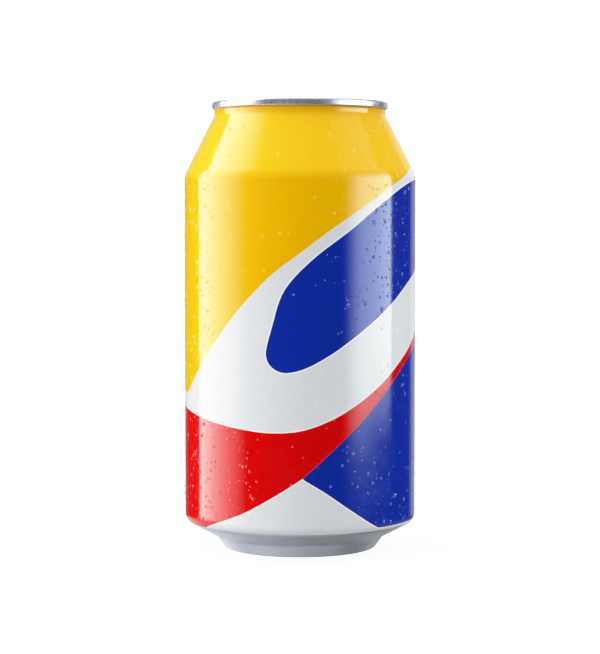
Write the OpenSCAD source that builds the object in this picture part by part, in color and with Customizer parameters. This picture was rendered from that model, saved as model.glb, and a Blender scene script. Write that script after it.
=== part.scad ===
// Drinks can: a drawn can body that narrows to a small end, a seamed-on lid and a stay-on pull tab.
// The can is shut, so the body is one solid with what it holds, up to the underside of the lid.
// Millimetres, +Z up, origin at the centre of the ring that the can stands on.

/* [Can body] */
// Diameter of the side wall
can_d = 66.2; // [56:0.1:84]
// Height from the standing ring to the top of the rim
can_h = 127.6; // [100:0.1:180]
// Lean of the neck cone from upright, in degrees
neck_lean = 26.8; // [15:0.1:45]
// Radius that blends the wall into the neck cone
shoulder_blend = 6; // [4:0.5:30]
// Height of the upright neck under the seam
neck_h = 1.83; // [0.8:0.01:5]
// Radius that blends the neck cone into the upright neck
neck_blend = 1.5; // [0.5:0.1:4]
// Thickness of the neck wall round the lid
neck_wall = 0.4; // [0.2:0.05:1]

/* [Base] */
// Diameter of the standing ring, at the middle of its foot
stand_d = 40.4; // [32:0.1:50]
// Width of the standing ring, across its two sides at the foot
stand_w = 2.74; // [2:0.01:5]
// Radius of the standing ring's two edges
stand_edge = 1.3; // [0.4:0.1:1.4]
// Height of the ring's outer side
leg_h = 3.55; // [1:0.05:8]
// How far the ring's outer side leans out over that height
leg_lean = 2.6; // [0:0.05:4]
// Radius that blends the ring's outer side into the chime
leg_blend = 3.2; // [0.5:0.1:4]
// Rise of the chime from level, in degrees
chime_rise = 27.7; // [10:0.1:45]
// Radius that blends the chime into the side wall
chime_blend = 3.2; // [1:0.1:10]
// Height of the ring's inner side, up to the dome
dome_foot = 4.2; // [2:0.1:8]
// Radius of the dome's sphere
dome_r = 42; // [30:0.5:80]
// Radius that blends the ring's inner side into the dome
dome_blend = 1.8; // [0.5:0.1:4]

/* [Lid] */
// Outer diameter of the double seam
seam_d = 50.3; // [41:0.1:61]
// Height of the seam
seam_h = 2; // [1.5:0.1:3.5]
// How far the seam stands out from the neck
seam_lap = 0.64; // [0.2:0.01:1.5]
// Thickness of the seam across its top
seam_w = 1.35; // [1:0.05:2]
// Radius of the seam's outer top edge
seam_edge = 0.65; // [0.2:0.05:0.8]
// Depth of the countersink groove below the rim
sink_depth = 6.4; // [5:0.1:9]
// Width of the countersink groove
sink_w = 1.1; // [0.8:0.05:2]
// Lean of the chuck wall from upright, in degrees
chuck_lean = 14; // [4:0.5:25]
// Depth of the centre panel below the rim
panel_depth = 4.2; // [3.2:0.1:4.8]
// Thickness of metal under the groove
lid_t = 0.3; // [0.2:0.05:0.6]
// Depth of the sunk field round the tab and the mouth
field_depth = 0.4; // [0.2:0.05:0.8]
// Space between the sunk field's end and the panel's edge
field_margin = 2; // [1:0.1:4]
// Height of the raised bead on the mouth
bead_h = 0.3; // [0.2:0.05:0.6]
// Depth of the score line round the mouth
score_depth = 0.12; // [0.05:0.01:0.15]
// Width of the score line
score_w = 0.4; // [0.2:0.05:0.8]

/* [Pull tab] */
// Length of the tab
tab_l = 24; // [20:0.1:29]
// Width of the tab across the finger end
tab_w = 15.5; // [13:0.1:18]
// Width of the tab across the nose
nose_w = 13; // [10:0.1:15]
// Distance from the rivet to the tip of the nose
nose_reach = 8.6; // [7:0.1:10]
// Height of the tab's curled edge
tab_t = 1.3; // [1:0.05:1.8]
// Width of the curled edge
curl_w = 1.7; // [1.2:0.05:2]
// Thickness of the flat web inside the curl
web_t = 0.5; // [0.3:0.05:0.8]
// Length of the finger hole along the tab
hole_l = 7.6; // [6:0.1:9]
// Width of metal between the finger hole and the tab's end
hole_rim = 2.1; // [1.5:0.1:3]
// Gap between the tab and the lid's panel
tab_gap = 0.1; // [0.05:0.05:0.5]
// Diameter of the rivet's stem
rivet_d = 3.2; // [2.5:0.1:4]
// Diameter of the rivet's head and of its shoulder
rivet_head_d = 5.2; // [4.5:0.1:6]
// Thickness of the rivet's head
rivet_head_t = 0.5; // [0.3:0.05:0.7]
// Clearance round the rivet's stem
rivet_clearance = 0.1; // [0.05:0.05:0.3]

/* [Hidden] */
$fn = 96;
corner_steps = 8;        // straight pieces in a rounded corner
dome_steps = 16;         // straight pieces across the dome, centre to edge
end_steps = 32;          // straight pieces in a round end of the tab or the sunk field
past = 1;                // how far a cutting shape runs past what it cuts

// Radii and heights of the body
wall_r = can_d / 2;
seam_r = seam_d / 2;
neck_r = seam_r - seam_lap;
seam_z = can_h - seam_h;
neck_z = seam_z - neck_h;
shoulder_z = neck_z - (wall_r - neck_r) / tan(neck_lean);
foot_in_r = (stand_d - stand_w) / 2;
foot_out_r = (stand_d + stand_w) / 2;
knee_r = foot_out_r + leg_lean;
chime_z = leg_h + (wall_r - knee_r) * tan(chime_rise);
socket_r = neck_r - neck_wall;          // hole in the neck that the lid fills

// Radii and heights of the lid
sink_z = can_h - sink_depth;
panel_z = can_h - panel_depth;
underside_z = sink_z - lid_t;
sink_out_r = seam_r - seam_w - sink_depth * tan(chuck_lean);
sink_in_r = sink_out_r - sink_w;
sink_edge = sink_w * 0.42;              // radius at both sides of the groove's floor
panel_edge = 0.5;                       // radius of the panel's outer edge
panel_r = sink_in_r - 0.15;             // the panel's wall leans in by this much

// The sunk field and the mouth, which opens towards -Y
field_z = panel_z - field_depth;
field_r = tab_w / 2 + 2;                // half width of the field, clear of the tab
field_reach = panel_r - field_margin;
mouth_r = (field_reach - rivet_head_d / 2 - 1) / 2;
mouth_y = mouth_r - field_reach + 0.5;
bead_r = mouth_r * 0.68;
well_r = 14;                            // sphere that presses the finger well
well_depth = 0.6;

// The tab, which lies with its nose over the mouth
tab_z = panel_z + tab_gap;
tab_end = tab_l - nose_reach;
hole_r = hole_l / 2;
hole_y = tab_end - hole_rim - hole_r;
hole_spread = tab_w / 2 - hole_rim - hole_r;
slot_w = 0.6;                           // slit that frees the rivet's tongue
tongue_r = rivet_head_d / 2 + 0.5;
web_end = tongue_r + slot_w + 0.4;      // where the web meets the bar before the finger hole

function unit(v) = v / norm(v);
function turned(v, a) = [v.x * cos(a) - v.y * sin(a), v.x * sin(a) + v.y * cos(a)];
function flat(p) = [p.x, p.y];

// Arc of radius r that rounds the corner p between its neighbours a and b
function arc_at(a, p, b, r) =
    let (u = unit(a - p), v = unit(b - p), half = acos(u * v) / 2)
    let (centre = p + unit(u + v) * r / sin(half))
    let (spoke = p + u * r / tan(half) - centre, last = p + v * r / tan(half) - centre)
    let (sweep = sign(cross(spoke, last)) * (180 - 2 * half))
    [for (i = [0:corner_steps]) centre + turned(spoke, sweep * i / corner_steps)];

// Outline through corners given as [x, y, radius], each rounded by its own radius
function rounded(corners) =
    let (n = len(corners))
    [for (i = [0:n - 1])
        let (p = corners[i], a = corners[(i + n - 1) % n], b = corners[(i + 1) % n])
        each (p.z > 0 ? arc_at(flat(a), flat(p), flat(b), p.z) : [flat(p)])];

// Height of the dome's underside at a radius from the axis
function dome_height(r) =
    dome_foot + sqrt(dome_r ^ 2 - r ^ 2) - sqrt(dome_r ^ 2 - foot_in_r ^ 2);

// Outline of two round ends joined by their straight tangents, along Y
module egg(r_a, y_a, r_b, y_b) {
    lean = asin((r_b - r_a) / (y_b - y_a));
    ends = [[r_a, y_a, 180 + lean, 360 - lean], [r_b, y_b, -lean, 180 + lean]];
    polygon([
        for (end = ends, i = [0:end_steps])
            let (a = end[2] + (end[3] - end[2]) * i / end_steps)
            [end[0] * cos(a), end[1] + end[0] * sin(a)]
    ]);
}

// Wall, neck, chime and domed base, as one solid of revolution
module can_body() {
    dome = [for (i = [0:dome_steps - 1])
        let (r = foot_in_r * i / dome_steps) [r, dome_height(r), 0]];
    color([0.97, 0.80, 0.05])
    rotate_extrude()
    polygon(rounded(concat(dome, [
        [foot_in_r, dome_foot, dome_blend],
        [foot_in_r, 0, stand_edge * 0.6],
        [foot_out_r, 0, stand_edge],
        [knee_r, leg_h, leg_blend],
        [wall_r, chime_z, chime_blend],
        [wall_r, shoulder_z, shoulder_blend],
        [neck_r, neck_z, neck_blend],
        [neck_r, seam_z, 0],
        [socket_r, seam_z, 0],
        [socket_r, underside_z, 0],
        [0, underside_z, 0]
    ])));
}

// Seam, chuck wall, countersink and panel, solid down to the level under the groove
module lid_shell() {
    rotate_extrude()
    polygon(rounded([
        [0, underside_z, 0],
        [socket_r, underside_z, 0],
        [socket_r, seam_z, 0],
        [seam_r, seam_z, 0.3],
        [seam_r, can_h, seam_edge],
        [seam_r - seam_w, can_h, 0.5],
        [sink_out_r, sink_z, sink_edge],
        [sink_in_r, sink_z, sink_edge],
        [panel_r, panel_z, panel_edge],
        [0, panel_z, 0]
    ]));
}

// Sunk field round the tab and the mouth, with the finger well under the tab's end
module sunk_field() {
    translate([0, 0, field_z])
    linear_extrude(field_depth + past)
    egg(field_r, field_r - field_reach, field_r, field_reach - field_r);
    translate([0, hole_y + hole_r / 2, field_z - well_depth + well_r]) sphere(well_r);
}

// Score line round the mouth
module score() {
    translate([0, mouth_y, field_z - score_depth])
    linear_extrude(score_depth + past / 2)
    difference() {
        circle(mouth_r);
        circle(mouth_r - score_w);
    }
}

// Stem, shoulder and head of the rivet that the lid is drawn up into
module rivet() {
    translate([0, 0, field_z - past / 2]) cylinder(d = rivet_head_d, h = tab_z - field_z + past / 2);
    translate([0, 0, tab_z - past / 4]) cylinder(d = rivet_d, h = web_t + past / 2);
    translate([0, 0, tab_z + web_t]) cylinder(d = rivet_head_d, h = rivet_head_t);
}

module lid() {
    color([0.80, 0.81, 0.83])
    union() {
        difference() {
            lid_shell();
            sunk_field();
            score();
        }
        translate([0, mouth_y, field_z]) rotate_extrude() translate([bead_r, 0]) circle(bead_h);
        rivet();
    }
}

// Tab with a curled edge, a finger hole, and a tongue held by the rivet
module pull_tab() {
    nose_r = nose_w / 2;
    end_r = tab_w / 2;
    color([0.74, 0.75, 0.78])
    translate([0, 0, tab_z])
    difference() {
        linear_extrude(tab_t) egg(nose_r, nose_r - nose_reach, end_r, tab_end - end_r);
        // the flat web between the nose's curl and the finger hole
        translate([0, 0, web_t])
        linear_extrude(tab_t)
        intersection() {
            egg(nose_r - curl_w, nose_r - nose_reach, end_r - curl_w, tab_end - end_r);
            translate([-tab_w / 2, -nose_reach]) square([tab_w, nose_reach + web_end]);
        }
        // the finger hole
        translate([0, hole_y, -past])
        linear_extrude(tab_t + 2 * past) {
            for (side = [-1, 1]) translate([side * hole_spread, 0]) circle(hole_r);
            square([2 * hole_spread, hole_l], center = true);
        }
        // the rivet's hole, and the slit that leaves its tongue hinged at the nose
        translate([0, 0, -past]) cylinder(d = rivet_d + 2 * rivet_clearance, h = tab_t + 2 * past);
        translate([0, 0, -past])
        linear_extrude(tab_t + 2 * past)
        difference() {
            circle(tongue_r + slot_w);
            circle(tongue_r);
            translate([-tab_w / 2, -nose_reach]) square([tab_w, nose_reach - slot_w]);
        }
    }
}

can_body();
lid();
pull_tab();
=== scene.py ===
import math
import bmesh
import bpy
import numpy as np
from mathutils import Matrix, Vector
from mathutils.geometry import delaunay_2d_cdt


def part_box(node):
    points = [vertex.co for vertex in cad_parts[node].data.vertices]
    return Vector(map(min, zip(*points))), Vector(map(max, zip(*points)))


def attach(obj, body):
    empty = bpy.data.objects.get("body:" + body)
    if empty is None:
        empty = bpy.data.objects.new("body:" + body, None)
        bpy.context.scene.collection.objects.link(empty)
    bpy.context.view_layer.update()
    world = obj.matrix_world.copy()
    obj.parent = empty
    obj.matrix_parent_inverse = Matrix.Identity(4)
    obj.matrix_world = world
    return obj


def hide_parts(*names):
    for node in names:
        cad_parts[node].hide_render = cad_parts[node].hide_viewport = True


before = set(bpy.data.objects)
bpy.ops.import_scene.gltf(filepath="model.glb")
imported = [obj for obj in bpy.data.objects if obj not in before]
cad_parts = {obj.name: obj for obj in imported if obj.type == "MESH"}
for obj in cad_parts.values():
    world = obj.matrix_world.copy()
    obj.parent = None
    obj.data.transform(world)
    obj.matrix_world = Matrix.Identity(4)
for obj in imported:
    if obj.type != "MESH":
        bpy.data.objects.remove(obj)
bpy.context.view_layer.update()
MM = 0.001


# --- Can body -------------------------------------------------------------------------------
# One piece of aluminium, drawn and ironed into a cup, domed at the base and necked in at the top.
# The outside is coated white, printed with four fields of ink and varnished; the base stays bare
# metal below the print. It is spun here from its section by a Geometry Nodes lathe.

body_low, body_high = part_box("can_body")
lid_low, lid_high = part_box("lid")
wall_r = body_high.x
seam_r = lid_high.x
can_top = lid_high.z
seam_z = body_high.z
neck_r = seam_r - 0.64 * MM
neck_z = seam_z - 1.83 * MM
neck_lean = math.radians(26.8)
shoulder_z = neck_z - (wall_r - neck_r) / math.tan(neck_lean)
foot_in_r, foot_out_r = 18.83 * MM, 21.57 * MM
knee_r, knee_z = foot_out_r + 2.6 * MM, 3.55 * MM
chime_z = knee_z + (wall_r - knee_r) * math.tan(math.radians(27.7))
dome_foot, dome_r = 4.2 * MM, 42 * MM
socket_r, socket_z = neck_r - 0.4 * MM, lid_low.z
PRINT_EDGE = 8.1 * MM       # height of the printed coat's lower edge
BLUE_EDGE = PRINT_EDGE + 0.85 * MM
INK_EDGE = (-0.05, 0.05)    # where an ink's edge fades in, in millimetres inside its outline
KEYLINE_EDGE = (-0.4, -0.28)    # and where the light line beside it does
YELLOW, RED, BLUE = (238, 181, 0), (210, 3, 5), (14, 44, 157)
WHITE, KEYLINE = (217, 221, 224), (243, 245, 246)
METAL_DARK, METAL_LIGHT = (180, 185, 197), (221, 226, 237)


def arc_at(a, p, b, radius, steps):
    """Points of the arc that rounds the corner p between a and b."""
    a, p, b = Vector(a), Vector(p), Vector(b)
    u, v = (a - p).normalized(), (b - p).normalized()
    half = u.angle(v) / 2
    centre = p + (u + v).normalized() * radius / math.sin(half)
    first = p + u * radius / math.tan(half) - centre
    last = p + v * radius / math.tan(half) - centre
    turn = math.copysign(math.pi - 2 * half, first.x * last.y - first.y * last.x)
    spin = [turn * i / steps for i in range(steps + 1)]
    return [
        (
            centre.x + first.x * math.cos(t) - first.y * math.sin(t),
            centre.y + first.x * math.sin(t) + first.y * math.cos(t),
        )
        for t in spin
    ]


def section(corners, longest):
    """A section through (radius, height, rounding) corners, with no straight piece over longest."""
    line = [corners[0][:2]]
    for before, here, after in zip(corners, corners[1:], corners[2:]):
        if here[2]:
            steps = 14 if here[2] > 5 * MM else 8
            line += arc_at(before[:2], here[:2], after[:2], here[2], steps)
        else:
            line.append(here[:2])
    line.append(corners[-1][:2])
    points = [line[0]]
    for a, b in zip(line, line[1:]):
        cuts = max(1, math.ceil(math.dist(a, b) / longest))
        for i in range(1, cuts + 1):
            points.append((a[0] + (b[0] - a[0]) * i / cuts, a[1] + (b[1] - a[1]) * i / cuts))
    return points


def math_node(tree, operation, a, b=None):
    """A Math node whose inputs are sockets or numbers."""
    node = tree.nodes.new("ShaderNodeMath")
    node.operation = operation
    for i, value in enumerate((a, b)):
        if value is None:
            continue
        if isinstance(value, bpy.types.NodeSocket):
            tree.links.new(value, node.inputs[i])
        else:
            node.inputs[i].default_value = value
    return node.outputs[0]


def lathe_tree():
    """Geometry Nodes that spin the points of a section round Z into a closed skin."""
    tree = bpy.data.node_groups.new("lathe", "GeometryNodeTree")
    face = tree.interface
    face.new_socket("Section", in_out="INPUT", socket_type="NodeSocketGeometry")
    face.new_socket("Steps round", in_out="INPUT", socket_type="NodeSocketInt")
    face.new_socket("Material", in_out="INPUT", socket_type="NodeSocketMaterial")
    face.new_socket("Skin", in_out="OUTPUT", socket_type="NodeSocketGeometry")
    new, link = tree.nodes.new, tree.links.new
    given, made = new("NodeGroupInput"), new("NodeGroupOutput")
    count = new("GeometryNodeAttributeDomainSize")
    link(given.outputs["Section"], count.inputs[0])
    grid = new("GeometryNodeMeshGrid")
    link(math_node(tree, "ADD", given.outputs["Steps round"], 1), grid.inputs["Vertices X"])
    link(count.outputs["Point Count"], grid.inputs["Vertices Y"])
    place = new("GeometryNodeInputPosition")
    split = new("ShaderNodeSeparateXYZ")
    link(place.outputs[0], split.inputs[0])
    turn = math_node(tree, "MULTIPLY", math_node(tree, "ADD", split.outputs["X"], 0.5), math.tau)
    last = math_node(tree, "SUBTRACT", count.outputs["Point Count"], 1)
    row = math_node(tree, "MULTIPLY", math_node(tree, "ADD", split.outputs["Y"], 0.5), last)
    sample = new("GeometryNodeSampleIndex")
    sample.data_type = "FLOAT_VECTOR"
    link(given.outputs["Section"], sample.inputs["Geometry"])
    link(place.outputs[0], sample.inputs["Value"])
    link(math_node(tree, "ROUND", row), sample.inputs["Index"])
    ring = new("ShaderNodeSeparateXYZ")
    link(sample.outputs[0], ring.inputs[0])
    radius = ring.outputs["X"]
    spun = new("ShaderNodeCombineXYZ")
    link(math_node(tree, "MULTIPLY", radius, math_node(tree, "SINE", turn)), spun.inputs["X"])
    back = math_node(tree, "MULTIPLY", radius, math_node(tree, "COSINE", turn))
    link(math_node(tree, "MULTIPLY", back, -1), spun.inputs["Y"])
    link(ring.outputs["Z"], spun.inputs["Z"])
    bend = new("GeometryNodeSetPosition")
    link(grid.outputs["Mesh"], bend.inputs["Geometry"])
    link(spun.outputs[0], bend.inputs["Position"])
    weld = new("GeometryNodeMergeByDistance")
    weld.inputs["Distance"].default_value = 0.001 * MM
    link(bend.outputs[0], weld.inputs["Geometry"])
    smooth = new("GeometryNodeSetShadeSmooth")
    link(weld.outputs[0], smooth.inputs["Geometry"])
    real = new("GeometryNodeRealizeInstances")
    link(smooth.outputs[0], real.inputs["Geometry"])
    coat = new("GeometryNodeSetMaterial")
    link(real.outputs[0], coat.inputs["Geometry"])
    link(given.outputs["Material"], coat.inputs["Material"])
    link(coat.outputs[0], made.inputs["Skin"])
    return tree


def grown(name, mesh, tree, **inputs):
    """A plain object from a mesh run through a node tree, with the tree's inputs set by name."""
    seed = bpy.data.objects.new(name + "_seed", mesh)
    bpy.context.scene.collection.objects.link(seed)
    grow = seed.modifiers.new("grow", "NODES")
    grow.node_group = tree
    sockets = {s.name: s for s in tree.interface.items_tree if s.in_out == "INPUT"}
    for label, value in inputs.items():
        grow[sockets[label.replace("_", " ")].identifier] = value
    bpy.context.view_layer.update()
    ready = seed.evaluated_get(bpy.context.evaluated_depsgraph_get())
    plain = bpy.data.meshes.new_from_object(ready)
    plain.name = name
    seed.modifiers.clear()
    bpy.data.objects.remove(seed)
    piece = bpy.data.objects.new(name, plain)
    bpy.context.scene.collection.objects.link(piece)
    return piece


def face_out(piece, weld=0.0):
    """Turns a closed piece's faces outwards, and first joins points nearer than weld."""
    bm = bmesh.new()
    bm.from_mesh(piece.data)
    if weld:
        bmesh.ops.remove_doubles(bm, verts=bm.verts, dist=weld)
    bmesh.ops.recalc_face_normals(bm, faces=bm.faces)
    bm.to_mesh(piece.data)
    bm.free()


lathe = lathe_tree()


def spun(name, points, steps_round, material):
    """A solid of revolution from (radius, height) points."""
    line = bpy.data.meshes.new(name + "_section")
    line.from_pydata([(r, 0, z) for r, z in points], [], [])
    piece = grown(name, line, lathe, Steps_round=steps_round, Material=material)
    face_out(piece)
    return piece


def dome_height(r):
    """Height of the base's dome at a radius."""
    return dome_foot + math.sqrt(dome_r**2 - r**2) - math.sqrt(dome_r**2 - foot_in_r**2)


# Corners of the body's section, as (radius, height, rounding), from the dome up to the neck.
body_corners = [(foot_in_r * i / 16, dome_height(foot_in_r * i / 16), 0) for i in range(16)]
body_corners += [
    (foot_in_r, dome_foot, 1.8 * MM),
    (foot_in_r, 0, 0.78 * MM),
    (foot_out_r, 0, 1.3 * MM),
    (knee_r, knee_z, 3.2 * MM),
    (wall_r, chime_z, 3.2 * MM),
    (wall_r, shoulder_z, 6 * MM),
    (neck_r, neck_z, 1.5 * MM),
    (neck_r, seam_z, 0),
    (socket_r, seam_z, 0),
    (socket_r, socket_z, 0),
    (0, socket_z, 0),
]

# The print, as (degrees round the can, millimetres up): 0 faces the front, 90 the right-hand side.
yellow_edge = [
    (-75, 45.3), (-60, 51.7), (-45, 60.5), (-30, 70), (-15, 78.5), (0, 85.1), (15, 91.5),
    (30, 97), (50, 103.4), (72, 108.2), (95, 110.5), (118, 110), (140, 106), (162, 98),
    (185, 87), (210, 73.5), (235, 60.5), (260, 50.5),
]
leaf = [
    (-16.4, 57.3), (-15.7, 60.2), (-14.2, 63.3), (-12.4, 66.9), (-10.6, 70.7), (-8, 74.3),
    (-4.3, 77.4), (0, 80.1), (9, 84.8), (24, 91), (41.5, 98.1), (60, 103.3), (80, 105.6),
    (100, 105.8), (120, 103.6), (142, 97.5), (165, 88), (188, 76.5), (212, 64), (190, 70),
    (165, 77), (140, 81.7), (118, 83.3), (98, 82.3), (80, 79.6), (65, 76.3), (50.3, 71),
    (38.4, 66.4), (26.4, 61.8), (16.2, 57.9), (5.3, 54.4), (0, 53.2), (-3.5, 52.7),
    (-7, 52.5), (-10.4, 52.9), (-13.3, 53.9), (-15.3, 55.3),
]
white_red = [
    (-170, 57.5), (-150, 52), (-125, 46.3), (-100, 42.6), (-80, 41.2), (-60, 39.4),
    (-45, 38), (-30, 36.8), (-15, 36), (0, 36.6), (15, 39.5), (30, 44.1), (45, 49.7),
    (60, 55.6), (80, 62.2), (100, 66.5), (120, 68.2), (138, 67.6), (152, 66),
]
white_blue = [(152, 66), (170, 62.6), (190, 57.5)]
red_blue = [
    (152, 66), (138, 66.4), (124, 65.9), (110, 64.6), (95, 62.3), (80, 59.2), (65, 54.9),
    (52, 49.5), (35, 40.9), (18, 32.2), (1, 23.5),
]
red_foot = [(1, 23.5), (-13.4, 18.2), (-29.4, 13.2), (-54, 8.2), (-70, 5)]
blue_foot = [(62, 5.5), (50, 7.5), (40, 9.3), (26.5, 13.9), (11, 20), (1, 23.5)]
back_sweep = [(190, 57.5), (205, 44.5), (220, 29), (232, 15.5), (240, 4)]


def unrolled(points):
    """(degrees, millimetres) laid out flat, in millimetres along and up the wall."""
    return np.array(points, float) * (math.radians(1) * wall_r / MM, 1)


def flowing(points, closed=False, steps=10):
    """A smooth line through guide points laid out flat, as a centripetal Catmull-Rom spline."""
    p = unrolled(points)
    ends = (p[-1:], p[:2]) if closed else (2 * p[:1] - p[1:2], 2 * p[-1:] - p[-2:-1])
    p = np.vstack([ends[0], p, ends[1]])
    runs = []
    for a, b, c, d in zip(p, p[1:], p[2:], p[3:]):
        t1 = math.dist(a, b) ** 0.5
        t2 = t1 + math.dist(b, c) ** 0.5
        t3 = t2 + math.dist(c, d) ** 0.5
        t = np.linspace(t1, t2, steps, endpoint=False)[:, None]
        ab = ((t1 - t) * a + t * b) / t1
        bc = ((t2 - t) * b + (t - t1) * c) / (t2 - t1)
        cd = ((t3 - t) * c + (t - t2) * d) / (t3 - t2)
        abc = ((t2 - t) * ab + t * bc) / t2
        bcd = ((t3 - t) * bc + (t - t1) * cd) / (t3 - t1)
        runs.append(((t2 - t) * abc + (t - t1) * bcd) / (t2 - t1))
    return np.vstack([*runs, p[-2:-1]])


def shifted(points, degrees):
    """Guide points turned round the can."""
    return [(a + degrees, z) for a, z in points]


def depth_in(points, outline):
    """How far each point lies inside a closed outline, negative outside it."""
    nearest = np.full(len(points), 1e9)
    inside = np.zeros(len(points), bool)
    for a, b in zip(outline, np.roll(outline, -1, axis=0)):
        span = b - a
        length = span @ span
        if length == 0:
            continue
        t = np.clip(((points - a) @ span) / length, 0, 1)
        gap = points - a - t[:, None] * span
        nearest = np.minimum(nearest, (gap * gap).sum(1))
        crosses = (a[1] > points[:, 1]) != (b[1] > points[:, 1])
        if crosses.any():
            at = a[0] + (points[:, 1] - a[1]) / (span[1] or 1) * span[0]
            inside ^= crosses & (points[:, 0] < at)
    return np.where(inside, 1, -1) * np.sqrt(nearest)


white_foot = flowing(white_red + white_blue[1:])
fork = len(flowing(white_red)) - 1
around = yellow_edge + shifted(yellow_edge, 360) + shifted(yellow_edge[:5], 720)
fields = {
    "yellow_ink": [flowing(shifted(around, -360)), unrolled([(405, 160), (-435, 160)])],
    "leaf_ink": [flowing(leaf, closed=True)],
    "red_ink": [
        white_foot[:fork + 1], flowing(red_blue), flowing(red_foot),
        unrolled([(-70, -5), (-116, -5)]), flowing(shifted(back_sweep, -360))[::-1],
    ],
    "blue_ink": [
        flowing(red_blue)[::-1], white_foot[fork:], flowing(back_sweep),
        unrolled([(240, -5), (62, -5)]), flowing(blue_foot),
    ],
}
FAR = 3.0                   # millimetres from a field past which a vertex is simply outside it


def print_depths(mesh):
    """Stores how deep each vertex lies in each field of ink, for the print to follow the wall."""
    places = np.zeros(len(mesh.vertices) * 3, np.float32)
    mesh.vertices.foreach_get("co", places)
    x, y, z = places.reshape(-1, 3).T.astype(float)
    turn = np.arctan2(x, -y) * wall_r / MM
    girth = math.tau * wall_r / MM
    outside = np.hypot(x, y) > foot_out_r
    for name, runs in fields.items():
        outline = np.vstack(runs)
        depth = np.full(len(turn), -FAR)
        for lap in (-1, 0, 1):
            spot = np.stack([turn + lap * girth, z / MM], 1)
            near = outside & (spot > outline.min(0) - FAR).all(1)
            near &= (spot < outline.max(0) + FAR).all(1)
            depth[near] = np.maximum(depth[near], depth_in(spot[near], outline))
        stored = mesh.attributes.new(name, "FLOAT", "POINT")
        stored.data.foreach_set("value", depth.astype(np.float32))


def colour(red, green, blue):
    """Screen colour from 0 to 255, as the linear colour that a shader takes."""
    linear = [
        c / 255 / 12.92 if c < 10.3 else ((c / 255 + 0.055) / 1.055) ** 2.4
        for c in (red, green, blue)
    ]
    return (*linear, 1.0)


def mixed(tree, share, first, second):
    """A colour mix whose share and colours are sockets or values."""
    node = tree.nodes.new("ShaderNodeMix")
    node.data_type = "RGBA"
    for socket, value in ((0, share), (6, first), (7, second)):
        if isinstance(value, bpy.types.NodeSocket):
            tree.links.new(value, node.inputs[socket])
        else:
            node.inputs[socket].default_value = value
    return node.outputs[2]


def blended(tree, share, first, second):
    """A mix of two numbers."""
    node = tree.nodes.new("ShaderNodeMix")
    for socket, value in ((0, share), (2, first), (3, second)):
        if isinstance(value, bpy.types.NodeSocket):
            tree.links.new(value, node.inputs[socket])
        else:
            node.inputs[socket].default_value = value
    return node.outputs[0]


def ramp(tree, value, low, high):
    """0 below low, 1 above high and smooth between."""
    node = tree.nodes.new("ShaderNodeMapRange")
    node.interpolation_type = "SMOOTHSTEP"
    tree.links.new(value, node.inputs["Value"])
    node.inputs["From Min"].default_value = low
    node.inputs["From Max"].default_value = high
    return node.outputs["Result"]


def noise(tree, where, scale, detail=2.0):
    """A Noise Texture's value, between 0 and 1."""
    node = tree.nodes.new("ShaderNodeTexNoise")
    tree.links.new(where, node.inputs["Vector"])
    node.inputs["Scale"].default_value = scale
    node.inputs["Detail"].default_value = detail
    return node.outputs["Fac"]


def new_material(name):
    """A new material, its node tree and its Principled shader."""
    material = bpy.data.materials.new(name)
    material.use_nodes = True
    tree = material.node_tree
    return material, tree, tree.nodes["Principled BSDF"]


def bumped(tree, height, distance):
    """A Bump node's normal, from a height between 0 and 1 that stands for distance metres."""
    node = tree.nodes.new("ShaderNodeBump")
    node.inputs["Distance"].default_value = distance
    tree.links.new(height, node.inputs["Height"])
    return node.outputs["Normal"]


def metal_marks():
    """Shader group: the tone, roughness and height of drawn or rolled aluminium.

    Its place is laid out so that X runs across the grain and Y along it.
    """
    group = bpy.data.node_groups.new("metal_marks", "ShaderNodeTree")
    face = group.interface
    face.new_socket("Place", in_out="INPUT", socket_type="NodeSocketVector")
    for label, value in (("Grain", 9000.0), ("Roughness", 0.3), ("Spread", 0.12)):
        face.new_socket(label, in_out="INPUT", socket_type="NodeSocketFloat").default_value = value
    for label in ("Tone", "Roughness", "Height"):
        face.new_socket(label, in_out="OUTPUT", socket_type="NodeSocketFloat")
    given = group.nodes.new("NodeGroupInput").outputs
    made = group.nodes.new("NodeGroupOutput").inputs
    link = group.links.new
    split = group.nodes.new("ShaderNodeSeparateXYZ")
    link(given["Place"], split.inputs[0])
    drawn_out = group.nodes.new("ShaderNodeCombineXYZ")
    link(split.outputs["X"], drawn_out.inputs["X"])
    link(math_node(group, "MULTIPLY", split.outputs["Y"], 0.02), drawn_out.inputs["Y"])
    link(math_node(group, "MULTIPLY", split.outputs["Z"], 0.02), drawn_out.inputs["Z"])
    lines = noise(group, drawn_out.outputs[0], 1.0, 3.0)
    link(given["Grain"], lines.node.inputs["Scale"])
    clouds = noise(group, given["Place"], 160.0, 3.0)
    nicks = group.nodes.new("ShaderNodeTexVoronoi")
    nicks.feature = "DISTANCE_TO_EDGE"
    nicks.inputs["Scale"].default_value = 420.0
    link(given["Place"], nicks.inputs["Vector"])
    scratch = math_node(group, "SUBTRACT", 1.0, ramp(group, nicks.outputs["Distance"], 0.0, 0.02))
    rare = math_node(group, "MULTIPLY", scratch, ramp(group, clouds, 0.58, 0.7))
    both = math_node(group, "ADD", math_node(group, "MULTIPLY", lines, 0.6),
                     math_node(group, "MULTIPLY", clouds, 0.4))
    link(math_node(group, "SUBTRACT", both, math_node(group, "MULTIPLY", rare, 0.15)), made["Tone"])
    swing = math_node(group, "MULTIPLY", math_node(group, "SUBTRACT", both, 0.5), given["Spread"])
    link(math_node(group, "ADD", given["Roughness"], math_node(group, "MULTIPLY", swing, 2.0)),
         made["Roughness"])
    link(math_node(group, "SUBTRACT", lines, math_node(group, "MULTIPLY", rare, 0.5)),
         made["Height"])
    return group


marks = metal_marks()


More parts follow.
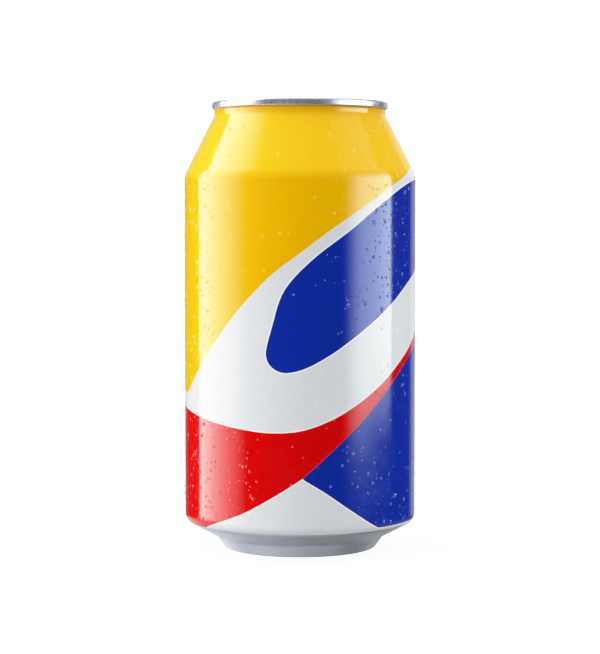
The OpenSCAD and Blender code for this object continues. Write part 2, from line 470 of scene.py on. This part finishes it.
def marked(tree, place, grain, roughness, spread):
    """Places the metal marks in a material, and returns their tone, roughness and height."""
    node = tree.nodes.new("ShaderNodeGroup")
    node.node_tree = marks
    tree.links.new(place, node.inputs["Place"])
    for label, value in (("Grain", grain), ("Roughness", roughness), ("Spread", spread)):
        node.inputs[label].default_value = value
    return (node.outputs[label] for label in ("Tone", "Roughness", "Height"))


def round_place(tree, split):
    """Place for marks that run round the can: X is the radius plus the height, Y the turn."""
    squares = [math_node(tree, "MULTIPLY", split.outputs[i], split.outputs[i]) for i in (0, 1)]
    radius = math_node(tree, "SQRT", math_node(tree, "ADD", *squares))
    turn = math_node(tree, "ARCTAN2", split.outputs["X"], split.outputs["Y"])
    place = tree.nodes.new("ShaderNodeCombineXYZ")
    tree.links.new(math_node(tree, "ADD", radius, split.outputs["Z"]), place.inputs["X"])
    tree.links.new(math_node(tree, "MULTIPLY", turn, wall_r), place.inputs["Y"])
    return place.outputs[0]


def printed_can():
    """Inks under a gloss varnish on a white coat, and bare drawn metal below the print's edge."""
    material, tree, skin = new_material("printed_can")
    link = tree.links.new
    where = tree.nodes.new("ShaderNodeTexCoord").outputs["Object"]
    split = tree.nodes.new("ShaderNodeSeparateXYZ")
    link(where, split.inputs[0])
    inks = {
        "yellow_ink": colour(*YELLOW),
        "red_ink": colour(*RED),
        "blue_ink": colour(*BLUE),
        "leaf_ink": colour(*BLUE),
    }
    depths = {}
    for name in inks:
        stored = tree.nodes.new("ShaderNodeAttribute")
        stored.attribute_name = name
        depths[name] = stored.outputs["Fac"]
    # The lower blue field stops above the coat's edge, so that a thin white line runs round there.
    foot = math_node(tree, "SUBTRACT", split.outputs["Z"], BLUE_EDGE)
    foot = math_node(tree, "MULTIPLY", foot, 1.0 / MM)
    depths["blue_ink"] = math_node(tree, "MINIMUM", depths["blue_ink"], foot)
    strong = math_node(tree, "MAXIMUM", depths["red_ink"], depths["blue_ink"])
    strong = math_node(tree, "MAXIMUM", strong, depths["leaf_ink"])
    # A lighter line of bare coat runs beside the red and blue fields.
    shade = mixed(tree, ramp(tree, strong, *KEYLINE_EDGE), colour(*WHITE), colour(*KEYLINE))
    for name, ink in inks.items():
        shade = mixed(tree, ramp(tree, depths[name], *INK_EDGE), shade, ink)
    mottle = noise(tree, where, scale=900.0, detail=3.0)
    toned = math_node(tree, "ADD", 0.97, math_node(tree, "MULTIPLY", mottle, 0.06))
    washed = tree.nodes.new("ShaderNodeVectorMath")
    washed.operation = "SCALE"
    link(shade, washed.inputs[0])
    link(toned, washed.inputs["Scale"])
    around_can = round_place(tree, split)
    tone, rough, height = marked(tree, around_can, grain=7000.0, roughness=0.34, spread=0.12)
    # Bare below the print's edge. This reads height only, so the dome's middle, which rises a
    # little above that edge, comes out coated too.
    bare = ramp(tree, split.outputs["Z"], PRINT_EDGE, PRINT_EDGE - 0.1 * MM)
    metal = mixed(tree, tone, colour(*METAL_DARK), colour(*METAL_LIGHT))
    link(mixed(tree, bare, washed.outputs[0], metal), skin.inputs["Base Color"])
    link(bare, skin.inputs["Metallic"])
    uneven = math_node(tree, "MULTIPLY", noise(tree, where, scale=240.0), 0.1)
    varnish = math_node(tree, "ADD", 0.07, uneven)
    link(blended(tree, bare, varnish, rough), skin.inputs["Roughness"])
    peel = noise(tree, where, scale=700.0)
    relief = blended(tree, bare, math_node(tree, "MULTIPLY", peel, 0.5), height)
    link(bumped(tree, relief, 0.003 * MM), skin.inputs["Normal"])
    skin.inputs["IOR"].default_value = 1.5
    return material


can_skin = spun(
    "can_body_skin", section(body_corners, longest=0.9 * MM), steps_round=360,
    material=printed_can(),
)
print_depths(can_skin.data)
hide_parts("can_body")
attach(can_skin, "root")


# --- Lid ------------------------------------------------------------------------------------
# Pressed from coated aluminium sheet and rolled onto the neck in a double seam. Inside the seam a
# chuck wall drops to a groove round the panel, whose sunk field holds the scored mouth, the
# finger well and the rivet. The rivet is drawn up from the panel and headed over the tab.

seam_w, chuck_lean = 1.35 * MM, math.radians(14)
panel_depth, sink_depth, sink_w = 4.2 * MM, 6.4 * MM, 1.1 * MM
panel_z = can_top - panel_depth
sink_z = can_top - sink_depth
sink_out_r = seam_r - seam_w - sink_depth * math.tan(chuck_lean)
sink_in_r = sink_out_r - sink_w
panel_r = sink_in_r - 0.15 * MM
panel_flat_r = panel_r - 0.7 * MM
field_depth, field_slope = 0.4 * MM, 0.7 * MM
field_r, field_reach = 9.75 * MM, panel_r - 2 * MM
field = (field_r, field_r - field_reach, field_r, field_reach - field_r)
mouth_r, mouth_y = 7.675 * MM, -10.775 * MM
bead_r, bead_h = 0.68 * mouth_r, 0.3 * MM
bead_spread = 2.4           # half the bead's width, as a multiple of its height
well_y, well_wide, well_depth = 11.4 * MM, 4.06 * MM, 0.6 * MM
score_w, score_depth = 0.4 * MM, 0.12 * MM
boss_r, boss_slope = 2.7 * MM, 0.9 * MM
LID_METAL_DARK, LID_METAL_LIGHT = (192, 195, 210), (228, 231, 244)
STEPS_ROUND = 384


def egg(nose_r, nose_y, end_r, end_y, steps=48):
    """Outline of two round ends joined by their straight tangents, along Y."""
    lean = math.asin((end_r - nose_r) / (end_y - nose_y))
    ends = (
        (nose_r, nose_y, math.pi + lean, math.tau - lean),
        (end_r, end_y, -lean, math.pi + lean),
    )
    line = []
    for r, y, first, last in ends:
        for i in range(steps + 1):
            a = first + (last - first) * i / steps
            line.append((r * math.cos(a), y + r * math.sin(a)))
    return line


def evenly(line, longest):
    """A closed outline with no side longer than longest."""
    points = []
    for a, b in zip(line, line[1:] + line[:1]):
        cuts = max(1, math.ceil(math.dist(a, b) / longest))
        points += [(a[0] + (b[0] - a[0]) * i / cuts, a[1] + (b[1] - a[1]) * i / cuts)
                   for i in range(cuts)]
    return points


def ring(r, y=0.0, steps=144):
    """Points of a circle centred at height y along Y."""
    return [
        (r * math.sin(math.tau * i / steps), y - r * math.cos(math.tau * i / steps))
        for i in range(steps)
    ]


def egg_gap(points, nose_r, nose_y, end_r, end_y):
    """How far points lie inside an egg outline, negative outside it."""
    outline = np.array(evenly(egg(nose_r, nose_y, end_r, end_y), 1.0))
    return depth_in(points, outline)


def eased(t):
    """0 below 0, 1 above 1 and smooth between."""
    t = np.clip(t, 0, 1)
    return t * t * (3 - 2 * t)


def lid_height(points):
    """Height of the panel's top at (x, y) points."""
    sunk = egg_gap(points, *field)
    height = panel_z - field_depth * eased((sunk + 0.1 * MM) / field_slope)
    from_mouth = np.hypot(points[:, 0], points[:, 1] - mouth_y)
    swell = 1 - ((from_mouth - bead_r) / (bead_spread * bead_h)) ** 2
    height += bead_h * eased(np.clip(swell, 0, 1))
    across = np.abs(from_mouth - mouth_r + score_w / 2) / (score_w / 2)
    height -= score_depth * (1 - eased(across))
    from_well = np.hypot(points[:, 0], points[:, 1] - well_y) / well_wide
    height -= well_depth * (1 - eased(from_well))
    from_rivet = np.hypot(points[:, 0], points[:, 1])
    height += field_depth * (1 - eased((from_rivet - boss_r) / boss_slope))
    return height


def flat_mesh(outlines, loose):
    """Delaunay triangles over closed outlines, kept as edges, and loose points."""
    points, edges = [], []
    for outline in outlines:
        first, count = len(points), len(outline)
        points += [Vector((x / MM, y / MM)) for x, y in outline]
        edges += [(first + i, first + (i + 1) % count) for i in range(count)]
    points += [Vector((x / MM, y / MM)) for x, y in loose]
    spots, _, faces, *_ = delaunay_2d_cdt(points, edges, [], 0, 1e-5)
    return np.array([(p.x * MM, p.y * MM) for p in spots]), np.array(faces)


def made_object(name, points, faces, material):
    """A smooth-shaded object from points and faces."""
    mesh = bpy.data.meshes.new(name)
    mesh.from_pydata([tuple(p) for p in points], [], [tuple(map(int, f)) for f in faces])
    mesh.materials.append(material)
    mesh.shade_smooth()
    piece = bpy.data.objects.new(name, mesh)
    bpy.context.scene.collection.objects.link(piece)
    return piece


def bare_metal(name, dark, light, grain, roughness, along_y=False):
    """Rolled aluminium, with its rolling marks along X or Y."""
    material, tree, skin = new_material(name)
    place = tree.nodes.new("ShaderNodeMapping")
    tree.links.new(tree.nodes.new("ShaderNodeTexCoord").outputs["Object"], place.inputs["Vector"])
    if not along_y:
        place.inputs["Rotation"].default_value = (0, 0, math.radians(90))
    tone, rough, height = marked(tree, place.outputs[0], grain, roughness, 0.14)
    tree.links.new(mixed(tree, tone, colour(*dark), colour(*light)), skin.inputs["Base Color"])
    tree.links.new(rough, skin.inputs["Roughness"])
    tree.links.new(bumped(tree, height, 0.004 * MM), skin.inputs["Normal"])
    skin.inputs["Metallic"].default_value = 0.88
    return material


lid_metal = bare_metal(
    "lid_metal", LID_METAL_DARK, LID_METAL_LIGHT, grain=5200.0, roughness=0.28,
)

# The seam, chuck wall and groove are spun from a section, as (radius, height, rounding).
shell = section([
    (0, lid_low.z, 0),
    (socket_r, lid_low.z, 0),
    (socket_r, seam_z, 0),
    (seam_r, seam_z, 0.3 * MM),
    (seam_r, can_top, 0.65 * MM),
    (seam_r - seam_w, can_top, 0.5 * MM),
    (sink_out_r, sink_z, 0.46 * MM),
    (sink_in_r, sink_z, 0.46 * MM),
    (panel_r, panel_z, 0.5 * MM),
    (panel_flat_r, panel_z, 0),
], longest=1.2 * MM)
rows = np.array(shell)
turns = np.arange(STEPS_ROUND) * math.tau / STEPS_ROUND
grid = np.stack([
    rows[1:, None, 0] * np.sin(turns), -rows[1:, None, 0] * np.cos(turns),
    np.repeat(rows[1:, 1:], STEPS_ROUND, 1),
], -1).reshape(-1, 3)
lid_faces = []
for row in range(len(rows) - 2):
    for i in range(STEPS_ROUND):
        a, b = row * STEPS_ROUND + i, row * STEPS_ROUND + (i + 1) % STEPS_ROUND
        lid_faces.append((a, b, b + STEPS_ROUND, a + STEPS_ROUND))
centre = len(grid)
lid_faces += [(centre, (i + 1) % STEPS_ROUND, i) for i in range(STEPS_ROUND)]

# Rings of loose points give the panel's triangles the slopes that lid_height needs.
loose = []
for inset in (-0.3, -0.1, 0.05, 0.2, 0.35, 0.5, 0.65, 0.9):
    r = field_r - inset * MM
    loose += evenly(egg(r, field[1], r, field[3]), 0.5 * MM)
for share in (-1.0, -0.6, -0.25, 0.0, 0.25, 0.6, 1.0):
    loose += ring(mouth_r - score_w / 2 + share * score_w / 2, mouth_y)
for share in (-1.0, -0.7, -0.35, 0.0, 0.35, 0.7, 1.0):
    loose += ring(bead_r + share * bead_spread * bead_h, mouth_y)
for share in (0.1, 0.25, 0.4, 0.55, 0.7, 0.85, 1.0, 1.1):
    loose += ring(well_wide * share, well_y, 48)
for r in (2.3, 2.7, 2.9, 3.1, 3.3, 3.6, 3.9):
    loose += ring(r * MM, 0.0, 72)
spots, faces = flat_mesh([ring(panel_flat_r, 0.0, STEPS_ROUND)], loose)
panel = np.column_stack([spots, lid_height(spots)])
panel[:STEPS_ROUND, 2] = panel_z
lid_points = np.vstack([grid, [[0, 0, lid_low.z]], panel])
lid_faces += [tuple(f + centre + 1) for f in faces]
lid_skin = made_object("lid_skin", lid_points, lid_faces, lid_metal)
face_out(lid_skin, weld=0.002 * MM)
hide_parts("lid")
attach(lid_skin, "root")


# --- Rivet ----------------------------------------------------------------------------------
# The button that holds the tab. It is drawn up out of the lid's own aluminium, passed through
# the tab's hole and staked into a flat head with a shallow hollow.

tab_low, tab_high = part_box("pull_tab")
web_t = 0.5 * MM
web_top = tab_low.z + web_t
stem_r, head_r, head_h = 1.6 * MM, 2.6 * MM, 0.5 * MM
rim_r, hollow_r, hollow_h = 1.5 * MM, 1.2 * MM, 0.36 * MM
stem_foot = panel_z - 0.3 * MM
rivet = spun("rivet", section([
    (0, stem_foot, 0),
    (stem_r, stem_foot, 0),
    (stem_r, web_top, 0.1 * MM),
    (head_r, web_top, 0.08 * MM),
    (head_r, web_top + head_h, 0.3 * MM),
    (rim_r, web_top + head_h, 0.15 * MM),
    (hollow_r, web_top + hollow_h, 0.15 * MM),
    (0, web_top + hollow_h, 0),
], longest=0.4 * MM), steps_round=96, material=lid_metal)
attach(rivet, "root")


# --- Pull tab -------------------------------------------------------------------------------
# Stamped from thicker aluminium strip, with its edges curled under all round and round the
# finger hole. A slit frees a tongue in its flat web, and the rivet holds that tongue down.

nose_r, nose_y = 6.5 * MM, (6.5 - 8.6) * MM
end_r = tab_high.x
end_y = tab_high.y - end_r
tab_t = tab_high.z - tab_low.z
curl_r, curl_w = tab_t / 2, 1.7 * MM
hole_y, hole_r, hole_spread = 9.5 * MM, 3.8 * MM, 1.85 * MM
tongue_r, slit_w, web_end = 3.1 * MM, 0.6 * MM, 4.1 * MM
rivet_hole_r = 1.7 * MM
web_slope, TAB_STEP, CLEAR = 0.55 * MM, 0.35 * MM, 0.01 * MM
TAB_METAL_DARK, TAB_METAL_LIGHT = (188, 190, 198), (230, 232, 238)


def finger_hole(grow, steps=28):
    """Outline of the finger hole: two half circles, spread apart and grown outwards."""
    line = []
    for side in (1, -1):
        for i in range(steps + 1):
            a = math.pi * i / steps - side * math.pi / 2
            line.append((side * hole_spread + (hole_r + grow) * math.cos(a),
                         hole_y + (hole_r + grow) * math.sin(a)))
    return line


def slit():
    """Outline of the curved cut round the tongue."""
    line = []
    for r, first, last in ((tongue_r + slit_w, 0, 1), (tongue_r, 1, 0)):
        lean = math.asin(slit_w / r)
        for i in range(41):
            share = first + (last - first) * i / 40
            a = -lean + (math.pi + 2 * lean) * share
            line.append((r * math.cos(a), r * math.sin(a)))
    return line


def outline_gap(points, line):
    """How far points lie inside an outline given as a list."""
    return depth_in(points, np.array(line))


outer = evenly(egg(nose_r, nose_y, end_r, end_y), TAB_STEP)
holes = [evenly(finger_hole(0), TAB_STEP), slit(), ring(rivet_hole_r, 0.0, 48)]

# Rows of loose points, in millimetres from each edge and close together where the curl bends.
insets = [0.04, 0.12, 0.24, 0.4, 0.65, 0.9, 1.15, 1.25, 1.35, 1.45, 1.55, 1.62, 1.68, 1.75]
loose = []
for inset in insets:
    loose += evenly(egg(nose_r - inset * MM, nose_y, end_r - inset * MM, end_y), TAB_STEP)
for grow in (0.04, 0.12, 0.24, 0.4, 0.65):
    loose += evenly(finger_hole(grow * MM), TAB_STEP)
for inset in (-0.05, 0.02, 0.1, 0.2, 0.3, 0.42, 0.55, 0.8):
    loose += [(x * 0.3 * MM, web_end + inset * MM) for x in range(-24, 25)]
loose = np.array(loose)
keep = outline_gap(loose, outer) > CLEAR
for hole in holes:
    keep &= outline_gap(loose, hole) < -CLEAR
spots, faces = flat_mesh([outer, *holes], loose[keep])
middles = spots[faces].mean(1)
solid = outline_gap(middles, outer) > 0
for hole in holes:
    solid &= outline_gap(middles, hole) < 0
faces = faces[solid]

# Half circles round the edges, and inside them the upper skin drops to the web.
edge = np.minimum(outline_gap(spots, outer), -outline_gap(spots, holes[0]))
edge = np.clip(edge, 0.02 * MM, curl_r)
half = np.sqrt(curl_r**2 - (curl_r - edge) ** 2)
inner = egg(nose_r - curl_w, nose_y, end_r - curl_w, end_y)
pocket = np.minimum(outline_gap(spots, inner), web_end - spots[:, 1])
fall = np.clip(pocket / web_slope + 1, 0, 1)
upper = np.minimum(tab_low.z + curl_r + half, web_top + (tab_t - web_t) * np.sqrt(1 - fall**2))
lower = tab_low.z + curl_r - half
count = len(spots)
tab_points = np.vstack([np.column_stack([spots, upper]), np.column_stack([spots, lower])])
tab_faces = [tuple(f) for f in faces] + [tuple(f[::-1] + count) for f in faces]

# Walls join the two skins along every side that only one triangle has.
sides = {}
for f in faces:
    for a, b in ((f[0], f[1]), (f[1], f[2]), (f[2], f[0])):
        sides[(a, b)] = sides.get((a, b), 0) + 1
tab_faces += [(b, a, a + count, b + count) for a, b in sides if (b, a) not in sides]
tab_metal = bare_metal(
    "tab_metal", TAB_METAL_DARK, TAB_METAL_LIGHT, grain=6400.0, roughness=0.27, along_y=True,
)
tab_skin = made_object("pull_tab_skin", tab_points, tab_faces, tab_metal)
face_out(tab_skin)
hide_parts("pull_tab")
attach(tab_skin, "root")


# --- Condensation ---------------------------------------------------------------------------
# Water that has settled on the cold printed wall, most of it at the can's sides: a fine mist,
# beads and a few larger drops. Each drop is a flattened bead of clear water on the varnish.

drop_top = 121.5 * MM       # no drop sits higher than this


def water():
    """Water with a faintly uneven surface, and a small white share that is painted light: it
    lightens the drops as the light they focus would.
    """
    material, tree, skin = new_material("water")
    where = tree.nodes.new("ShaderNodeTexCoord").outputs["Object"]
    film = noise(tree, where, scale=2600.0)
    tree.links.new(math_node(tree, "MULTIPLY", film, 0.05), skin.inputs["Roughness"])
    tree.links.new(bumped(tree, film, 0.002 * MM), skin.inputs["Normal"])
    # Painted light: a white diffuse share of 0.07 makes the drops paler on dark ink, in place of
    # the light that they focus.
    skin.inputs["Base Color"].default_value = (1, 1, 1, 1)
    skin.inputs["Transmission Weight"].default_value = 0.93
    skin.inputs["IOR"].default_value = 1.33
    skin.inputs["Specular IOR Level"].default_value = 1.0
    return material


def drops_tree():
    """Geometry Nodes that scatter flattened beads on the wall."""
    tree = bpy.data.node_groups.new("drops", "GeometryNodeTree")
    face = tree.interface
    face.new_socket("Wall", in_out="INPUT", socket_type="NodeSocketGeometry")
    for label in ("Density", "Spacing", "Smallest", "Largest", "Lowest", "Highest"):
        face.new_socket(label, in_out="INPUT", socket_type="NodeSocketFloat")
    for label in ("Seed", "Segments", "Rings"):
        face.new_socket(label, in_out="INPUT", socket_type="NodeSocketInt")
    face.new_socket("Material", in_out="INPUT", socket_type="NodeSocketMaterial")
    face.new_socket("Drops", in_out="OUTPUT", socket_type="NodeSocketGeometry")
    new, link = tree.nodes.new, tree.links.new
    given = new("NodeGroupInput").outputs
    split = new("ShaderNodeSeparateXYZ")
    place = new("GeometryNodeInputPosition").outputs[0]
    link(place, split.inputs[0])
    x, y, z = (split.outputs[i] for i in range(3))

    # How likely a drop is: in runs and patches, most at the sides and fewer right at the edge.
    drawn_down = new("ShaderNodeVectorMath")
    drawn_down.operation = "MULTIPLY"
    link(place, drawn_down.inputs[0])
    drawn_down.inputs[1].default_value = (1, 1, 0.2)
    runs = ramp(tree, noise(tree, drawn_down.outputs[0], 240.0, 2.0), 0.28, 0.8)
    patches = ramp(tree, noise(tree, place, 42.0, 2.0), 0.28, 0.55)
    turn = math_node(tree, "ARCTAN2", x, y)
    to_side = math_node(tree, "ABSOLUTE", math_node(tree, "SINE", turn))
    edge_on = math_node(tree, "MULTIPLY", ramp(tree, to_side, 0.88, 0.97), 0.85)
    aside = math_node(tree, "SUBTRACT", ramp(tree, to_side, 0.12, 0.75), edge_on)
    aside = math_node(tree, "ADD", 0.04, aside)
    share = math_node(tree, "MULTIPLY", math_node(tree, "MULTIPLY", runs, patches), aside)
    low = math_node(tree, "GREATER_THAN", z, given["Lowest"])
    high = math_node(tree, "LESS_THAN", z, given["Highest"])
    share = math_node(tree, "MULTIPLY", share, math_node(tree, "MULTIPLY", low, high))

    scatter = new("GeometryNodeDistributePointsOnFaces")
    scatter.distribute_method = "POISSON"
    link(given["Wall"], scatter.inputs["Mesh"])
    link(given["Spacing"], scatter.inputs["Distance Min"])
    link(given["Density"], scatter.inputs["Density Max"])
    link(share, scatter.inputs["Density Factor"])
    link(given["Seed"], scatter.inputs["Seed"])

    # Each drop is a sphere, pressed flat on the wall and drawn out a little downwards.
    bead = new("GeometryNodeMeshUVSphere")
    bead.inputs["Radius"].default_value = 1.0
    link(given["Segments"], bead.inputs["Segments"])
    link(given["Rings"], bead.inputs["Rings"])
    upright = new("FunctionNodeAlignRotationToVector")
    upright.axis, upright.pivot_axis = "Y", "Z"
    upright.inputs["Vector"].default_value = (0, 0, 1)
    link(scatter.outputs["Rotation"], upright.inputs["Rotation"])
    size = new("FunctionNodeRandomValue")
    link(given["Seed"], size.inputs["Seed"])
    small_ones = math_node(tree, "POWER", size.outputs[1], 1.8)
    span = math_node(tree, "SUBTRACT", given["Largest"], given["Smallest"])
    radius = math_node(tree, "MULTIPLY", small_ones, span)
    radius = math_node(tree, "ADD", given["Smallest"], radius)
    slump = new("FunctionNodeRandomValue")
    slump.inputs[2].default_value = 1.0
    slump.inputs[3].default_value = 1.2
    link(math_node(tree, "ADD", given["Seed"], 7), slump.inputs["Seed"])
    shape = new("ShaderNodeCombineXYZ")
    link(radius, shape.inputs["X"])
    link(math_node(tree, "MULTIPLY", radius, slump.outputs[1]), shape.inputs["Y"])
    link(math_node(tree, "MULTIPLY", radius, 0.46), shape.inputs["Z"])
    lay = new("GeometryNodeInstanceOnPoints")
    link(scatter.outputs["Points"], lay.inputs["Points"])
    link(bead.outputs["Mesh"], lay.inputs["Instance"])
    link(upright.outputs[0], lay.inputs["Rotation"])
    link(shape.outputs[0], lay.inputs["Scale"])
    real = new("GeometryNodeRealizeInstances")
    link(lay.outputs[0], real.inputs["Geometry"])
    smooth = new("GeometryNodeSetShadeSmooth")
    link(real.outputs[0], smooth.inputs["Geometry"])
    coat = new("GeometryNodeSetMaterial")
    link(smooth.outputs[0], coat.inputs["Geometry"])
    link(given["Material"], coat.inputs["Material"])
    link(coat.outputs[0], new("NodeGroupOutput").inputs["Drops"])
    return tree


drops = drops_tree()
water_with_painted_light = water()
# Name, drops a square metre at most, least spacing, smallest and largest radius, seed, and the
# segments and rings of the sphere.
kinds = (
    ("mist", 8e5, 1.05 * MM, 0.17 * MM, 0.28 * MM, 3, 6, 4),
    ("beads", 4e5, 1.45 * MM, 0.29 * MM, 0.46 * MM, 11, 8, 5),
    ("large_drops", 1.3e5, 2.8 * MM, 0.46 * MM, 0.62 * MM, 24, 10, 6),
)
for name, density, spacing, smallest, largest, seed, segments, rings in kinds:
    piece = grown(
        name, can_skin.data.copy(), drops, Density=density, Spacing=spacing, Smallest=smallest,
        Largest=largest, Seed=seed, Segments=segments, Rings=rings, Material=water_with_painted_light,
        Lowest=PRINT_EDGE + 2 * MM, Highest=drop_top,
    )
    piece.visible_shadow = False
    piece.visible_diffuse = False
    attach(piece, "root")


# --- Studio ---------------------------------------------------------------------------------
# A pale table that shows its own light, and two tall soft boxes, one at each side, drawn on the
# world. Mirrored rays see the boxes and the table's light, the camera sees plain white, and all
# other rays see a softer pattern.

camera_back, camera_up, camera_pitch = 582 * MM, 95 * MM, 3.12
camera = bpy.data.objects.new("camera", bpy.data.cameras.new("camera"))
bpy.context.scene.collection.objects.link(camera)
bpy.context.scene.camera = camera
camera.data.lens = 111.5
camera.location = (0, -camera_back, camera_up)
camera.rotation_euler = (math.radians(90 - camera_pitch), 0, 0)

reach = 3.0
corners = [(-reach, -reach, 0), (reach, -reach, 0), (reach, reach, 0), (-reach, reach, 0)]
table_mesh = bpy.data.meshes.new("table")
table_mesh.from_pydata(corners, [], [(0, 1, 2, 3)])
table = bpy.data.objects.new("table", table_mesh)
bpy.context.scene.collection.objects.link(table)
table.visible_glossy = False
lit_table, tree, skin = new_material("lit_table")
skin.inputs["Base Color"].default_value = (0.45, 0.45, 0.45, 1)
skin.inputs["Roughness"].default_value = 0.9
skin.inputs["Emission Color"].default_value = (1, 1, 1, 1)
seen = tree.nodes.new("ShaderNodeLightPath").outputs["Is Camera Ray"]
tree.links.new(math_node(tree, "MULTIPLY", seen, 1.1), skin.inputs["Emission Strength"])
table_mesh.materials.append(lit_table)


def linear(tree, value, low, high):
    """0 at low, 1 at high and straight between."""
    node = tree.nodes.new("ShaderNodeMapRange")
    tree.links.new(value, node.inputs["Value"])
    node.inputs["From Min"].default_value = low
    node.inputs["From Max"].default_value = high
    return node.outputs["Result"]


def studio_world():
    """Draws the light on the world, from each ray's direction x, y, z and its turn in degrees.

    The turn is 0 towards the camera and 90 at the right-hand side.
    """
    world = bpy.data.worlds.new("studio")
    world.use_nodes = True
    bpy.context.scene.world = world
    tree = world.node_tree
    tree.nodes.clear()
    link = tree.links.new
    split = tree.nodes.new("ShaderNodeSeparateXYZ")
    link(tree.nodes.new("ShaderNodeTexCoord").outputs["Generated"], split.inputs[0])
    x, y, z = (split.outputs[i] for i in range(3))
    turn = math_node(tree, "ARCTAN2", x, math_node(tree, "MULTIPLY", y, -1))
    turn = math_node(tree, "MULTIPLY", turn, math.degrees(1))

    def times(*values):
        """The product of sockets and numbers."""
        made = values[0]
        for value in values[1:]:
            made = math_node(tree, "MULTIPLY", made, value)
        return made

    def plus(*values):
        """The sum of sockets and numbers."""
        made = values[0]
        for value in values[1:]:
            made = math_node(tree, "ADD", made, value)
        return made

    def falls(value, a, b):
        """1 below a, 0 above b and smooth between."""
        return math_node(tree, "SUBTRACT", 1.0, ramp(tree, value, a, b))

    # The boxes, and the paler back of the studio.
    above_table = ramp(tree, z, -0.2, -0.165)
    left = times(linear(tree, turn, -55, -103), ramp(tree, turn, -119.3, -117.8),
                 above_table, falls(z, 0.86, 0.97))
    slant = math_node(tree, "SUBTRACT", z, math_node(tree, "MULTIPLY", turn, 0.0007))
    right = plus(times(ramp(tree, turn, 42, 66), 0.7), times(linear(tree, turn, 62, 100), 0.33))
    right = times(right, falls(turn, 101.0, 102.6), ramp(tree, slant, -0.157, -0.141),
                  plus(times(falls(z, -0.02, 0.5), 0.92), 0.08))
    behind = plus(times(ramp(tree, turn, 138, 150), 0.6),
                  times(falls(turn, -166, -146), 0.22))

    # What bare metal mirrors of the table, lighter to the left and where the ray runs steeply.
    to_left = linear(tree, x, 0.02, -0.12)
    steep = falls(z, -0.93, -0.8)
    table_light = plus(
        0.23, times(to_left, plus(0.27, times(steep, -0.14))), times(steep, 0.25),
        times(linear(tree, x, -0.2, -0.5), 0.25),
        times(linear(tree, z, -0.68, -0.4), plus(0.3, times(to_left, 0.3))),
        times(ramp(tree, z, -0.4, -0.22), -0.35),
    )

    mirrored = plus(
        0.04, times(ramp(tree, z, 0.03, 0.1), 0.2), times(ramp(tree, z, 0.8, 0.9), 0.22),
        times(falls(z, -0.22, -0.17), table_light), times(left, 7.2), times(right, 8.6),
        times(behind, above_table), times(ramp(tree, z, 0.88, 0.96), 1.3),
    )
    soft = plus(
        0.31, times(linear(tree, turn, -25, -90), ramp(tree, turn, -135, -95), 4.0),
        times(ramp(tree, turn, 50, 85), falls(turn, 120, 150), 2.0),
        times(ramp(tree, z, 0.6, 0.9), 1.4),
    )
    path = tree.nodes.new("ShaderNodeLightPath")
    light = blended(tree, path.outputs["Is Glossy Ray"], soft, mirrored)
    light = blended(tree, path.outputs["Is Camera Ray"], light, 2.0)
    glow = tree.nodes.new("ShaderNodeBackground")
    link(light, glow.inputs["Strength"])
    # The right-hand box is a little cooler than the rest.
    cool = times(
        path.outputs["Is Glossy Ray"], ramp(tree, turn, 38, 44), falls(turn, 101.0, 102.6),
    )
    link(mixed(tree, cool, (1, 1, 1, 1), (0.87, 1, 1, 1)), glow.inputs["Color"])
    out = tree.nodes.new("ShaderNodeOutputWorld")
    link(glow.outputs[0], out.inputs["Surface"])


studio_world()

# The film's response has a short toe at black and rolls off gently towards white.
FILM_WHITE = 2.0
settings = bpy.context.scene.view_settings
settings.view_transform = "Standard"
settings.use_curve_mapping = True
film = settings.curve_mapping
film.white_level = (FILM_WHITE, FILM_WHITE, FILM_WHITE)
response = film.curves[3]
response.points[0].location = (0.0015, 0.0)
for light_in, light_out in ((0.7, 0.7), (0.95, 0.87), (1.25, 0.955)):
    response.points.new(light_in / FILM_WHITE, light_out)
response.points[0].handle_type = "VECTOR"
response.points[1].handle_type = "VECTOR"
film.update()
